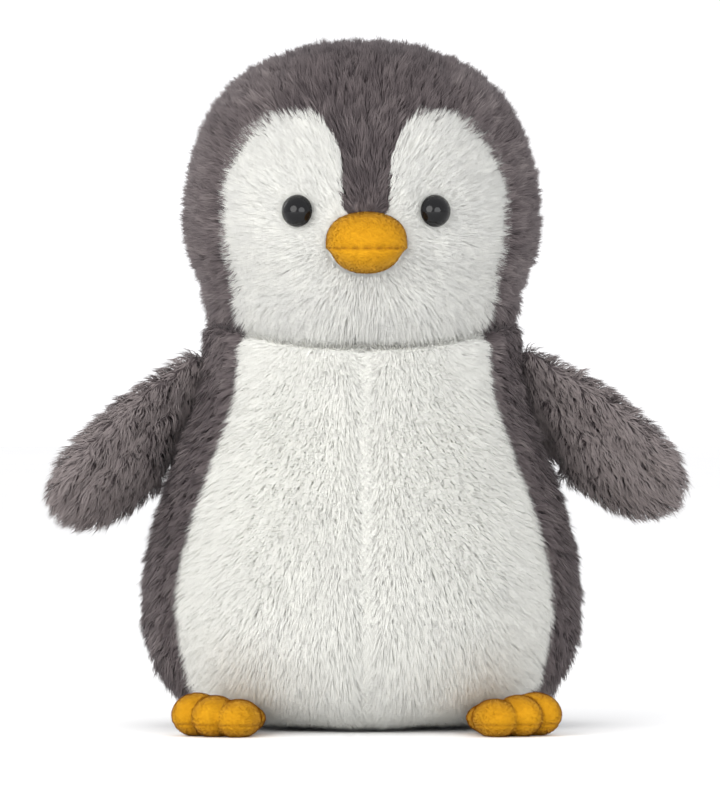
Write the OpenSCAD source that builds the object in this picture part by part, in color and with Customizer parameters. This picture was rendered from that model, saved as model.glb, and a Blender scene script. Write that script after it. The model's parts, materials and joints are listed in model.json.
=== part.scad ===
// Plush penguin, standing, wings held out to the sides. Millimetres, +Z up, the toy faces -Y.
// Left and right are the toy's own: its left wing is on the +X side.
// Panel thickness is the fabric together with its pile, so outer faces are the fur surface.

/* [Body] */
// Width of the body at its widest, over the fur
body_w = 194; // [160:1:230]
// Depth of the body front to back, as a share of its width
body_depth = 0.88; // [0.7:0.01:1]
// Height of the widest part above the floor
belly_z = 52; // [40:1:70]
// Half width of the flat underside
base_r = 55; // [45:1:65]
// Half width of the shoulders at the neck
neck_r = 69; // [60:1:75]
// Height at which the shoulders would end
neck_z = 182; // [170:1:195]
// Thickness of the fur fabric with its pile
fur = 8; // [5:0.5:10]
// Half angle of the white belly at the neck
belly_top_a = 52; // [40:1:60]
// Half angle of the white belly near the floor
belly_low_a = 60; // [50:1:70]

/* [Head] */
// Width of the head over the fur
head_w = 159; // [130:1:180]
// Depth of the head front to back
head_d = 156; // [120:1:170]
// Height of the middle of the head above the floor
head_z = 222; // [205:1:240]
// Height of the head above its middle
head_up = 78; // [65:1:90]
// Depth of the head below its middle, if it were closed
head_down = 70; // [60:1:75]
// How square the head is, 2 is an ellipsoid
head_n = 2.2; // [2:0.05:3]
// Height of the head's lower edge
head_low_z = 166; // [160:1:176]
// Centre of the ball that the head turns and nods in
ball_z = 214; // [205:1:222]
// Radius of the seat for that ball
seat_r = 75.2; // [72:0.1:80]

/* [Face] */
// Sideways centre of each white patch
patch_x = 20; // [10:1:30]
// Half width of each white patch
patch_rx = 44; // [35:1:50]
// Height of a white patch above the middle of the head
patch_up = 47; // [35:1:55]
// Reach of a white patch below the middle of the head
patch_down = 60; // [50:1:70]
// Top of the white patches above the floor
patch_top_z = 266.5; // [255:0.5:275]
// Half width of the grey peak between the eyes
peak_x = 10.5; // [6:0.5:16]
// Half width of the crown strip on top of the head
crown_x = 33; // [20:1:45]
// Half width of the crown strip at the nape
nape_x = 18; // [10:1:30]

/* [Eyes] */
// Distance of each eye from the centre line
eye_x = 30.8; // [20:0.2:40]
// Height of the eyes above the floor
eye_z = 225; // [210:0.5:240]
// Width of an eye
eye_d = 13.2; // [9:0.1:16]

/* [Beak] */
// Width of the beak
beak_w = 34.6; // [24:0.2:44]
// Height of the seam between the beak's halves
beak_seam_z = 208.8; // [200:0.2:220]
// Height of the upper half above the seam
beak_up = 15.6; // [10:0.2:20]
// Depth of the lower half below the seam
beak_down = 10.6; // [6:0.2:16]
// How far the beak stands out from the fabric
beak_out = 19; // [10:0.5:30]
// Thickness of the short pile fabric
felt = 1.6; // [1:0.1:3]

/* [Wings] */
// Height of the middle of a wing's root
wing_z = 142; // [125:1:155]
// Length of a wing from its root seam to its tip
wing_len = 75; // [60:1:100]
// Half width of a wing at its root
wing_root_c = 27; // [20:1:36]
// Half width of a wing towards its tip
wing_tip_c = 22; // [14:1:30]
// Half thickness of a wing at its root
wing_root_t = 7.5; // [5:0.5:10]
// Half thickness of a wing at its fullest
wing_mid_t = 12; // [9:0.5:16]
// How far the left wing hangs below level at rest
droop_left = 37; // [0:1:60]
// How far the right wing hangs below level at rest
droop_right = 42; // [0:1:60]
// How far the wings reach forward at rest
wing_forward = 6; // [0:1:30]
// Thickness of the wing fabric with its pile
wing_fur = 5; // [3:0.5:6]

/* [Feet] */
// Distance of each foot from the centre line
foot_x = 61; // [45:1:75]
// Distance of the middle of a foot in front of the body's centre
foot_y = 71.5; // [55:1:85]
// Half width of a foot
foot_rx = 20.5; // [14:0.5:26]
// Half length of a foot
foot_ry = 25; // [18:0.5:32]
// Height of a foot
foot_h = 20; // [12:0.5:26]
// How far the toes point outwards
foot_splay = 14; // [0:1:30]

/* [Label] */
// Length of the sewn in label out of the seam
label_l = 20; // [15:1:40]
// Width of the label along the seam
label_w = 16; // [10:1:30]

/* [Hidden] */
seam_gap = 0.5;
n_around = 10;
n_up = 14;
head_c = [0, 0, head_z];
depth = body_depth;
base_t = 7;
backing = 1;
stuff_gap = 1.6;
felt_gap = 0.5;
wing_off = 5;
wing_axis_raw = [-0.25, -0.35, 0.9];
wing_axis = wing_axis_raw / norm(wing_axis_raw);
grey = [0.42, 0.39, 0.39];
white = [0.94, 0.94, 0.91];
amber = [0.88, 0.62, 0.10];
filling = [0.97, 0.97, 0.97];

function mix(a, b, t) = a + (b - a) * t;
function unit(v) = v / norm(v);
function spow(v, e) = (v < 0 ? -1 : 1) * pow(abs(v), e);
function smooth(t) = let (u = min(1, max(0, t))) u * u * (3 - 2 * u);
function flip(p) = [-p[0], p[1], p[2]];

// ---- solids from rows of points ----

// The closed solid between an outer and an inner grid with the same rows and columns.
module slab(outer, inner) {
  rows = len(outer);
  cols = len(outer[0]);
  n = rows * cols;
  function id(i, j) = i * cols + j;
  polyhedron(
    points = concat([for (r = outer) each r], [for (r = inner) each r]),
    faces = concat(
      [for (i = [0:rows - 2], j = [0:cols - 2]) each
        [[id(i, j), id(i + 1, j), id(i + 1, j + 1)], [id(i, j), id(i + 1, j + 1), id(i, j + 1)]]],
      [for (i = [0:rows - 2], j = [0:cols - 2]) each
        [[n + id(i, j), n + id(i + 1, j + 1), n + id(i + 1, j)],
         [n + id(i, j), n + id(i, j + 1), n + id(i + 1, j + 1)]]],
      [for (j = [0:cols - 2]) each
        [[id(0, j), id(0, j + 1), n + id(0, j + 1)], [id(0, j), n + id(0, j + 1), n + id(0, j)]]],
      [for (j = [0:cols - 2], k = [rows - 1]) each
        [[id(k, j), n + id(k, j + 1), id(k, j + 1)], [id(k, j), n + id(k, j), n + id(k, j + 1)]]],
      [for (i = [0:rows - 2]) each
        [[id(i, 0), n + id(i + 1, 0), id(i + 1, 0)], [id(i, 0), n + id(i, 0), n + id(i + 1, 0)]]],
      [for (i = [0:rows - 2], k = [cols - 1]) each
        [[id(i, k), id(i + 1, k), n + id(i + 1, k)], [id(i, k), n + id(i + 1, k), n + id(i, k)]]]
    )
  );
}

// The closed solid through a stack of rings, closed at each end with a fan about the ring's middle.
module blob(rings) {
  rows = len(rings);
  cols = len(rings[0]);
  n = rows * cols;
  function id(i, j) = i * cols + j % cols;
  function middle(r) = [for (k = [0:2]) [for (p = r) 1] * [for (p = r) p[k]] / len(r)];
  polyhedron(
    points = concat([for (r = rings) each r], [middle(rings[0]), middle(rings[rows - 1])]),
    faces = concat(
      [for (i = [0:rows - 2], j = [0:cols - 1]) each
        [[id(i, j), id(i + 1, j), id(i + 1, j + 1)], [id(i, j), id(i + 1, j + 1), id(i, j + 1)]]],
      [for (j = [0:cols - 1]) [n, id(0, j), id(0, j + 1)]],
      [for (j = [0:cols - 1]) [n + 1, id(rows - 1, j + 1), id(rows - 1, j)]]
    )
  );
}

// ---- the body's surface ----

// Half width of the body at a height above its widest part.
function shoulder_r(z) =
  mix(neck_r, body_w / 2, (1 + cos(180 * (z - belly_z) / (neck_z - belly_z))) / 2);
function shoulder_slope(z) =
  (body_w / 2 - neck_r) / 2 * PI / (neck_z - belly_z) * sin(180 * (z - belly_z) / (neck_z - belly_z));

// A point of the profile, as half width and height, set in by t along its normal.
function low_profile(a, t) =
  let (ra = body_w / 2 - base_r, q = unit([sin(a) / ra, -cos(a) / belly_z]))
  [base_r + ra * sin(a) - t * q[0], belly_z * (1 - cos(a)) - t * q[1]];
function high_profile(z, t) =
  let (q = unit([1, shoulder_slope(z)])) [shoulder_r(z) - t * q[0], z - t * q[1]];

// Where the profile meets the seat of the head, found by halving.
function over_seat(z, t, share) =
  let (p = high_profile(z, t)) pow(p[0] * share, 2) + pow(ball_z - p[1], 2) - seat_r * seat_r;
function rim_z(t, share, lo = 140, hi = 205, left = 26) =
  left == 0 ? (lo + hi) / 2
  : over_seat((lo + hi) / 2, t, share) > 0 ? rim_z(t, share, (lo + hi) / 2, hi, left - 1)
  : rim_z(t, share, lo, (lo + hi) / 2, left - 1);

// A point of the body: the angle from the front, and how far up from base edge (0) to rim (1).
function body_share(a) = norm([sin(a), depth * cos(a)]);
function body_profile(a, v, t) =
  v < 0.4 ? low_profile(90 * v / 0.4, t)
  : high_profile(mix(belly_z, rim_z(t, body_share(a)), (v - 0.4) / 0.6), t);
function body_at(a, v, t) =
  let (p = body_profile(a, v, t)) [p[0] * sin(a), -depth * p[0] * cos(a), p[1]];

// Angle of the seam between white belly and grey back.
function belly_a(v) = mix(belly_low_a, belly_top_a, smooth((v - 0.45) / 0.5));
// A small gap along a seam, as an angle.
function gap_a(v) = seam_gap / 2 / body_profile(90, v, 0)[0] * 180 / PI;

module belly_half() {
  v_of = [for (i = [0:n_up]) i / n_up];
  function grid(t) = [for (v = v_of) [for (j = [0:6])
    body_at(mix(gap_a(v), belly_a(v) - gap_a(v), j / 6), v, t)]];
  slab(grid(0), grid(fur));
}

module back_half() {
  v_of = [for (i = [0:n_up]) i / n_up];
  function grid(t) = [for (v = v_of) [for (j = [0:n_around])
    body_at(mix(belly_a(v) + gap_a(v), 180 - gap_a(v), j / n_around), v, t)]];
  slab(grid(0), grid(fur));
}

module belly_left() color(white) belly_half();
module belly_right() color(white) mirror([1, 0, 0]) belly_half();
module back_left() color(grey) difference() {
  back_half();
  wing_groove();
}
module back_right() color(grey) mirror([1, 0, 0]) difference() {
  back_half();
  wing_groove();
}

module base_panel() color(grey) {
  r = base_r - seam_gap;
  linear_extrude(height = base_t) polygon([for (k = [0:71]) [r * sin(5 * k), depth * r * cos(5 * k)]]);
}

module body_stuffing() color(filling) {
  inset = fur + stuff_gap;
  rings = concat(
    [for (a = [38, 62, 90]) low_profile(a, inset)],
    [for (z = [76, 100, 124, 143]) high_profile(z, inset)]
  );
  blob([for (p = rings) [for (k = [0:23]) [p[0] * sin(15 * k), -depth * p[0] * cos(15 * k), p[1]]]]);
}

module pellet_bag() color([0.85, 0.83, 0.78]) scale([1, depth, 1]) rotate_extrude($fn = 180)
  polygon([[0, 8], [40, 8], [45.5, 10], [46.5, 12.5], [45.5, 15], [40, 17], [0, 17]]);

module care_label() color(white)
  translate([-0.15, depth * body_w / 2 - fur + 0.5, 26]) cube([0.3, label_l + fur, label_w]);

// The wad of stuffing in the neck, which the head rests on.
module neck_wad() color(filling) rotate_extrude($fn = 72)
  polygon([[0, 143], [44, 143], [48, 146], [49, 150], [48, 155], [0, 163.2]]);

// ---- the head's surface ----

// How far out the head may reach in a direction and still turn in its seat.
function in_seat(d, t) =
  let (b = d[2] * (head_z - ball_z), r = seat_r - 1.5 - t, k = head_z - ball_z)
  sqrt(b * b + r * r - k * k) - b + 12 * smooth((d[2] + 0.37) / 0.2);

// The point of the head in a direction from its middle, set in by t.
function head_at(way, t) =
  let (d = unit(way), c = d[2] < 0 ? head_down : head_up,
       s = pow(abs(d[0]) / (head_w / 2 - t), head_n) + pow(abs(d[1]) / (head_d / 2 - t), head_n)
         + pow(abs(d[2]) / (c - t), head_n))
  head_c + d * min(pow(s, -1 / head_n), in_seat(d, t));

// The direction of the front point with a given x and height.
function front_dir(x, z) =
  let (c = z < head_z ? head_down : head_up,
       k = 1 - pow(abs(x) / (head_w / 2), head_n) - pow(abs(z - head_z) / c, head_n))
  [x, -head_d / 2 * pow(max(k, 0), 1 / head_n), z - head_z];

// The direction of the point with a given x, at an angle over the top from front (0) to back (180).
function over_dir(x, a) =
  let (k = pow(1 - pow(abs(x) / (head_w / 2), head_n), 1 / head_n), c = sin(a) < 0 ? head_down : head_up)
  [x, -head_d / 2 * k * spow(cos(a), 2 / head_n), c * k * spow(sin(a), 2 / head_n)];

// Outer edge of a white patch, and its inner edge along the grey peak.
function patch_out(z) =
  let (h = abs(z - head_z) / (z < head_z ? patch_down : patch_up))
  patch_x + patch_rx * pow(max(0, 1 - pow(h, 2.7)), 1 / 2.7);
function patch_in(z) =
  z < peak_low_z ? 0
  : z < peak_low_z + 8 ? peak_x * (z - peak_low_z) / 8
  : mix(peak_x, peak_top_x, pow(max(0, z - peak_mid_z) / (patch_top_z - peak_mid_z), 3));
peak_top_x = peak_x * 2.1;
peak_low_z = 217;
peak_mid_z = 236;

// Heights of the rows of a white patch: below the peak, then along it.
low_rows = [for (i = [0:5]) mix(head_low_z, peak_low_z, i / 6)];
peak_rows = concat([peak_low_z, peak_low_z + 8], [for (i = [1:7]) mix(peak_low_z + 8, patch_top_z, i / 7)]);
patch_rows = concat(low_rows, peak_rows);
g = seam_gap / 2;

module face_half() {
  function grid(t) = [for (z = patch_rows) [for (j = [0:7])
    head_at(front_dir(mix(patch_in(z) + g, patch_out(z) - g, j / 7), z), t)]];
  difference() {
    slab(grid(0), grid(fur));
    beak_recess();
    eye_recess();
  }
}

// Angle over the top at which the crown strip leaves the patch, and at which it ends at the nape.
top_dir = front_dir(patch_out(patch_top_z), patch_top_z);
over_start = atan2(spow(top_dir[2] / head_up, head_n / 2), spow(-top_dir[1] / (head_d / 2), head_n / 2));
over_end = 180 + asin(pow((head_z - head_low_z) / head_down
  / pow(1 - pow(nape_x / (head_w / 2), head_n), 1 / head_n), head_n / 2));
n_over = 13;
function strip_x(a) =
  a < 90 ? mix(top_dir[0], crown_x, smooth((a - over_start) / (90 - over_start)))
  : mix(crown_x, nape_x, smooth((a - 90) / (over_end - 90)));
over_a = [for (i = [1:n_over]) mix(over_start, over_end, i / n_over)];

// Right and left edge of the crown strip, as directions, from the beak to the nape.
function strip_edge(off) = concat(
  [for (z = peak_rows) if (z > peak_low_z) front_dir(patch_in(z) - off, z)],
  [for (k = [0.33, 0.66, 1])
    front_dir(mix(peak_top_x, patch_out(patch_top_z), k) - off, patch_top_z + seam_gap)],
  [for (a = over_a) over_dir(strip_x(a) - off, a)]);

module crown_strip() {
  edge = strip_edge(g);
  function grid(t) = [for (e = edge) [for (j = [0:6]) head_at([e[0] * (j / 3 - 1), e[1], e[2]], t)]];
  color(grey) difference() {
    slab(grid(0), grid(fur));
    beak_recess();
  }
}

// Outer edge of a white patch from the neck to its top, then the crown strip's edge to the nape.
arch = concat(
  [for (z = patch_rows) front_dir(patch_out(z) + g, z)],
  [for (a = over_a) over_dir(strip_x(a) + g, a)]);
// The lower edge of the head under the cheek, with one direction for each point of the arch.
low_r = head_w / 2 * pow(1 - pow((head_z - head_low_z) / head_down, head_n), 1 / head_n);
low_front_a = asin(min(1, patch_out(head_low_z) / low_r));
low_back_a = 180 - asin(nape_x / low_r);
function low_dir(a) =
  let (r = low_r) [r * spow(sin(a), 2 / head_n), -r * head_d / head_w * spow(cos(a), 2 / head_n),
    head_low_z - head_z];

module head_side() {
  n = len(arch) - 1;
  function ear(i) = low_dir(mix(low_front_a + 3, low_back_a - 3, i / n));
  function grid(t) = [for (i = [0:n]) [for (j = [0:7])
    head_at(unit(mix(unit(arch[i]), unit(ear(i)), pow(j / 7, 0.9))), t)]];
  slab(grid(0), grid(fur));
}

module face_left() color(white) face_half();
module face_right() color(white) mirror([1, 0, 0]) face_half();
module head_side_left() color(grey) head_side();
module head_side_right() color(grey) mirror([1, 0, 0]) head_side();

module head_stuffing() color(filling) {
  t = fur + stuff_gap + 1.6;
  rows = concat([for (a = [-41, -26, -10, 8, 26, 44, 60, 74, 84]) a]);
  difference() {
    blob([for (a = rows) [for (k = [0:23])
      head_at([cos(a) * sin(15 * k), -cos(a) * cos(15 * k), sin(a)], t)]]);
    for (s = [-1, 1]) scale([s, 1, 1]) on_eye() translate([0, 0, -fur - 12]) cylinder(h = 13, r = 9, $fn = 48);
  }
}

// ---- eyes, with the shank through the fabric and a washer behind ----

eye_dir = front_dir(eye_x, eye_z);
eye_point = head_at(eye_dir, 0);
// Local z points out of the face at the eye, and 0 is the fur surface.
eye_out = unit([eye_dir[0] / pow(head_w / 2, 2), eye_dir[1] / pow(head_d / 2, 2), eye_dir[2] / pow(head_up, 2)]);
module on_eye() translate(eye_point)
  rotate([0, acos(eye_out[2]), atan2(eye_out[1], eye_out[0])]) children();

module eye_recess() on_eye() {
  translate([0, 0, -fur + backing + 0.6]) cylinder(h = fur + 10, r = eye_d / 2 + 0.5, $fn = 48);
  translate([0, 0, -fur - 6]) cylinder(h = fur + 10, r = 2.5, $fn = 48);
}

module eye() color([0.05, 0.05, 0.05]) on_eye() {
  low = -fur + backing + 0.9;
  dome = eye_d / 2;
  intersection() {
    translate([0, 0, low]) cylinder(h = dome + 1, r = dome, $fn = 64);
    translate([0, 0, low + 1.2 - dome * 0.12]) sphere(r = dome * 1.03, $fn = 64);
  }
  translate([0, 0, low - 9]) cylinder(h = 9.4, r = 2.1, $fn = 48);
}

module eye_washer() color([0.9, 0.9, 0.88]) on_eye() translate([0, 0, -fur - 2.7]) difference() {
  cylinder(h = 1.4, r = 7.5, $fn = 48);
  translate([0, 0, -1]) cylinder(h = 4, r = 2.3, $fn = 48);
}

module eye_left() eye();
module eye_right() mirror([1, 0, 0]) eye();
module eye_washer_left() eye_washer();
module eye_washer_right() mirror([1, 0, 0]) eye_washer();

// ---- beak ----

beak_back = -head_d / 2 + fur - backing + 0.1;
beak_mid_z = beak_seam_z + (beak_up - beak_down) / 2;

module beak_recess() translate([0, beak_back + 0.0, beak_mid_z]) rotate([90, 0, 0])
  scale([1, (beak_up + beak_down + 2) / (beak_w + 1.6), 1]) cylinder(h = 30, r = beak_w / 2 + 0.8, $fn = 64);

// One half of the beak: h is its height away from the seam, side its direction.
function beak_at(w, e, h, side, t) = let (k = cos(w))
  [(beak_w / 2 - t) * sin(w), beak_back - 0.3 - (beak_out - t) * k * cos(e), beak_seam_z + side * (h - t) * k * sin(e)];

module beak_half(h, side) {
  function grid(t) = [for (i = [0:12]) [for (j = [0:6])
    beak_at(mix(-78, 78, i / 12), mix(1.2, 90, j / 6), h, side, t)]];
  slab(side > 0 ? grid(felt) : grid(0), side > 0 ? grid(0) : grid(felt));
}

module beak_upper() color(amber) beak_half(beak_up, 1);
module beak_lower() color(amber) beak_half(beak_down, -1);

module beak_stuffing() color(filling) {
  t = felt + felt_gap;
  blob([for (i = [0:8]) let (w = mix(-66, 66, i / 8)) concat(
    [for (j = [0:5]) beak_at(w, mix(78, 0, j / 5), beak_up, 1, t)],
    [for (j = [1:5]) beak_at(w, mix(0, 78, j / 5), beak_down, -1, t)])]);
}

// ---- wings, drawn on the left side; the right one is their mirror ----

wing_root = [shoulder_r(wing_z) + wing_off, 0, wing_z];

// Length direction of the wing, and the outward direction square to its root seam.
function wing_u(droop) =
  [cos(droop) * cos(wing_forward), -sin(wing_forward), -sin(droop) * cos(wing_forward)];
function square(v, a) = unit(v - (v * a) * a);

// A point of the wing: s along it from root (0) to tip (1), below 0 round the root; q around it.
function wing_at(s, q, t, droop) =
  let (u = wing_u(droop), e = square(u, wing_axis), nrm = unit(cross(u, wing_axis)),
       chord = unit(mix(wing_axis, square(wing_axis, u), smooth(s / 0.5))),
       r = max(0, -s) * 90, full = max(0, s),
       tip = sqrt(max(0.0004, 1 - pow(full, 7))),
       hc = (mix(wing_root_c, wing_tip_c, full) - t) * tip,
       ht = (mix(wing_root_t, wing_mid_t, sin(90 * min(1, full / 0.5))) - t) * tip * cos(r))
  wing_root + u * full * (wing_len - t) - e * (wing_root_t - t) * sin(r)
    + chord * hc * cos(q) + nrm * ht * sin(q);

wing_rows = [-0.86, -0.55, -0.25, 0, 0.1, 0.22, 0.36, 0.5, 0.63, 0.75, 0.85, 0.92, 0.97, 0.995];

module wing_panel(q0, q1, droop) {
  function grid(t) = [for (s = wing_rows) [for (j = [0:7]) wing_at(s, mix(q0, q1, j / 7), t, droop)]];
  slab(grid(wing_fur), grid(0));
}
module wing_stuffing(droop) {
  blob([for (s = [0.16, 0.28, 0.4, 0.52, 0.64, 0.75, 0.85, 0.93])
    [for (k = [0:13]) wing_at(s, -360 * k / 14, wing_fur + 1, droop)]]);
}
// The groove in the body that the root of the wing turns in.
module wing_groove() {
  reach = wing_root_c + 1;
  translate(wing_root)
    rotate([0, acos(wing_axis[2]), atan2(wing_axis[1], wing_axis[0])])
      translate([0, 0, -reach]) cylinder(h = 2 * reach, r = wing_root_t + 0.7, $fn = 48);
}

module wing_left_inner() color(grey) wing_panel(2, 178, droop_left);
module wing_left_outer() color(grey) wing_panel(182, 358, droop_left);
module wing_left_stuffing() color(filling) wing_stuffing(droop_left);
module wing_right_inner() color(grey) mirror([1, 0, 0]) wing_panel(2, 178, droop_right);
module wing_right_outer() color(grey) mirror([1, 0, 0]) wing_panel(182, 358, droop_right);
module wing_right_stuffing() color(filling) mirror([1, 0, 0]) wing_stuffing(droop_right);

// ---- feet, drawn about their own middle with the toes towards -Y ----

foot_seam_z = 8;
// Reach of the outline at an angle from straight ahead, with three toes at the front.
function toes(a) = 0.2 * (pow(abs(cos(4.5 * a)), 0.7) - 0.6) * smooth((76 - abs(a)) / 16);
function foot_r(a, t) =
  (1 + toes(a)) / norm([sin(a) / (foot_rx * 0.92 - t), cos(a) / (foot_ry * 0.92 - t)]);
// Height of the foot's top, lower towards the heel so that it slips under the body.
function foot_top(y, t) = (foot_h - foot_seam_z - t) * mix(1, 0.12, smooth((y + 6) / 22));
function foot_at(a, k, t, upper) =
  let (r = foot_r(a, t) * sin(k), x = r * sin(a), y = -r * cos(a))
  [x, y, upper ? foot_seam_z + 0.2 + foot_top(y, t) * pow(cos(k), 0.8)
    : max(t, foot_seam_z - 0.2 - (foot_seam_z - t) * 1.25 * pow(cos(k), 0.5))];

module place_foot() translate([foot_x, -foot_y, 0]) rotate([0, 0, foot_splay]) children();

// A half of the foot: an open bowl of fabric with its rim on the seam.
module foot_half(upper) {
  cols = 45;
  rows = [90, 66, 42, 20];
  top = [for (k = rows) [for (j = [0:cols - 1]) foot_at(-180 + 360 * j / cols, k, 0, upper)]];
  low = [for (k = rows) [for (j = [0:cols - 1]) foot_at(-180 + 360 * j / cols, k, felt, upper)]];
  function seen(p) = upper ? p : [for (r = p) [for (j = [0:cols - 1]) r[cols - 1 - j]]];
  // up the outside to the middle, and back down the inside
  n = cols;
  m = len(rows);
  rings = concat(seen(top), [for (i = [m - 1:-1:0]) seen(low)[i]]);
  z_out = upper ? foot_seam_z + 0.2 + foot_top(0, 0) : 0;
  z_in = upper ? foot_seam_z + 0.2 + foot_top(0, felt) : felt;
  points = concat([for (r = rings) each r], [[0, 0, z_out], [0, 0, z_in]]);
  total = 2 * m * n;
  function id(i, j) = i * n + j % n;
  polyhedron(points, concat(
    [for (i = [0:m - 2], j = [0:n - 1]) each
      [[id(i, j), id(i + 1, j), id(i + 1, j + 1)], [id(i, j), id(i + 1, j + 1), id(i, j + 1)]]],
    [for (j = [0:n - 1]) [id(m - 1, j), total, id(m - 1, j + 1)]],
    [for (i = [m:2 * m - 2], j = [0:n - 1]) each
      [[id(i, j), id(i + 1, j), id(i + 1, j + 1)], [id(i, j), id(i + 1, j + 1), id(i, j + 1)]]],
    [for (j = [0:n - 1]) [id(m, j), id(m, j + 1), total + 1]],
    [for (j = [0:n - 1]) each
      [[id(2 * m - 1, j), id(0, j), id(0, j + 1)], [id(2 * m - 1, j), id(0, j + 1), id(2 * m - 1, j + 1)]]]
  ));
}

module foot_stuffing() {
  t = felt + felt_gap;
  rows = [66, 42, 20];
  function ring(k, upper) = [for (j = [0:44]) foot_at(180 - 8 * j, k, t, upper)];
  blob(concat([for (i = [2:-1:0]) ring(rows[i], false)], [for (k = rows) ring(k, true)]));
}

module foot_left_upper() color(amber) place_foot() foot_half(true);
module foot_left_sole() color(amber) place_foot() foot_half(false);
module foot_left_stuffing() color(filling) place_foot() foot_stuffing();
module foot_right_upper() color(amber) mirror([1, 0, 0]) place_foot() foot_half(true);
module foot_right_sole() color(amber) mirror([1, 0, 0]) place_foot() foot_half(false);
module foot_right_stuffing() color(filling) mirror([1, 0, 0]) place_foot() foot_stuffing();

belly_left();
belly_right();
back_left();
back_right();
base_panel();
body_stuffing();
pellet_bag();
care_label();
neck_wad();
crown_strip();
head_side_left();
head_side_right();
face_left();
face_right();
head_stuffing();
beak_upper();
beak_lower();
beak_stuffing();
eye_left();
eye_right();
eye_washer_left();
eye_washer_right();
wing_left_outer();
wing_left_inner();
wing_left_stuffing();
wing_right_outer();
wing_right_inner();
wing_right_stuffing();
foot_left_upper();
foot_left_sole();
foot_left_stuffing();
foot_right_upper();
foot_right_sole();
foot_right_stuffing();
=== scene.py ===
import json
import math

import bpy
import numpy as np
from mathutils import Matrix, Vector

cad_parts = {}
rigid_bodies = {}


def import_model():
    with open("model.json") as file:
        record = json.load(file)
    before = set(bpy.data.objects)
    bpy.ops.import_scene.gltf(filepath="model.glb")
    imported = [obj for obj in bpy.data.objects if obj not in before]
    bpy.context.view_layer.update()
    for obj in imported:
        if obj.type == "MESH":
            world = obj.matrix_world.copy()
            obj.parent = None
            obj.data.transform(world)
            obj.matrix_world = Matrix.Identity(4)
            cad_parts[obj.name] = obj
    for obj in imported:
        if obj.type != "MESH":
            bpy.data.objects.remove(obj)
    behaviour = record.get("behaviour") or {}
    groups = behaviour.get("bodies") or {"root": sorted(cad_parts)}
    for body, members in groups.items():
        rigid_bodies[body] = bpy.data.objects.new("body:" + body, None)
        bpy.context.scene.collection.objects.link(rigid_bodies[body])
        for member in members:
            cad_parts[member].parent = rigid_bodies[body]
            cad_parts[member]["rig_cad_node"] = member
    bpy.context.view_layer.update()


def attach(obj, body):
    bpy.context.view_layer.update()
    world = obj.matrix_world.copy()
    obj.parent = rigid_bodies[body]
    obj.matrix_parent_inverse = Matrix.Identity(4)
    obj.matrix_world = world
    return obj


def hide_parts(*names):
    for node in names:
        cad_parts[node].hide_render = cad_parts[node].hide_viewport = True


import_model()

# Sizes are in millimetres and angles in degrees, as in part.scad, until a mesh is made.
MM = 0.001

# ---- sizes, under their names in part.scad ----
# The wings, the feet, the beak's outline and the lower edge of the head are shaped again here,
# closer to the photograph, so they differ from the CAD model by a few millimetres.

BODY_R, DEPTH, BELLY_Z, BASE_R = 97.0, 0.88, 52.0, 55.0
NECK_R, NECK_Z, BALL_Z, SEAT_R = 69.0, 182.0, 214.0, 75.2
HEAD_C = np.array([0.0, 0.0, 222.0])
HEAD_RX, HEAD_RY, HEAD_UP, HEAD_DOWN, HEAD_N = 79.5, 78.0, 78.0, 70.0, 2.2
HEAD_LOW_Z = 166.0
BODY_MID = np.array([0.0, 0.0, 90.0])
BALL = np.array([0.0, 0.0, BALL_Z])

# The white patch of the face, and the grey peak that runs down between the two patches.
PATCH_TOP_Z, PATCH_UP, PATCH_DOWN, PATCH_N = 266.5, 47.0, 60.0, 2.7
PATCH_MID_X, PATCH_HALF_X = 20.0, 44.0
PEAK_X, PEAK_TOP_X = 10.5, 22.05
PEAK_LOW_Z, PEAK_FULL_Z, PEAK_WIDEN_Z = 217.0, 225.0, 236.0

EYE_X, EYE_Z, EYE_R = 30.8, 225.0, 6.6
BEAK_W, BEAK_SEAM_Z, BEAK_UP, BEAK_DOWN, BEAK_OUT, BEAK_BACK = 34.6, 208.8, 15.6, 10.6, 19.0, -70.9

WING_LEN, WING_Z, WING_FORWARD = 73.5, 142.0, 6.0
WING_AXIS = np.array([-0.25, -0.35, 0.9]) / np.linalg.norm([0.25, 0.35, 0.9])
WING_ROOT_W, WING_TIP_W = 30.0, 23.4
WING_ROOT_H, WING_MID_H, WING_ROOT_DEEP = 7.5, 12.0, 13.0

FOOT_X, FOOT_Y, FOOT_SPLAY, FOOT_STITCH_Z = 60.2, 71.5, 24.0, 5.2

# How far the fabric lies under the surface of the pile.
SKIN = 6.6
WING_SKIN = 4.4

# Pile in strands per square millimetre, and the nap of the knit in hairs per square millimetre.
THICK = 2.6
NAP = 9.0


# ---- small tools ----

def rad(a):
    return np.radians(a)


def mix(a, b, k):
    return a + (b - a) * k


def smooth(k):
    k = np.clip(k, 0, 1)
    return k * k * (3 - 2 * k)


def unit(v):
    return v / np.maximum(np.linalg.norm(v, axis=-1, keepdims=True), 1e-9)


def dot(a, b):
    return (a * b).sum(-1, keepdims=True)


def xyz(x, y, z):
    return np.stack(np.broadcast_arrays(x, y, z), -1).astype(float)


def spow(v, p):
    return np.sign(v) * np.abs(v) ** p


def chance(cell, salt):
    """A repeatable number from 0 to 1 for each cell of a lattice."""
    c = cell.astype(np.int64)
    h = (c[..., 0] * 73856093) ^ (c[..., 1] * 19349663) ^ (c[..., 2] * 83492791) ^ (salt * 668265263)
    h = (h ^ (h >> 15)) & 0xFFFFFFFF
    h = (h * 2246822519) & 0xFFFFFFFF
    h = h ^ (h >> 13)
    h = (h * 3266489917) & 0xFFFFFFFF
    return ((h ^ (h >> 16)) & 0xFFFFFF) / 0xFFFFFF


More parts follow.
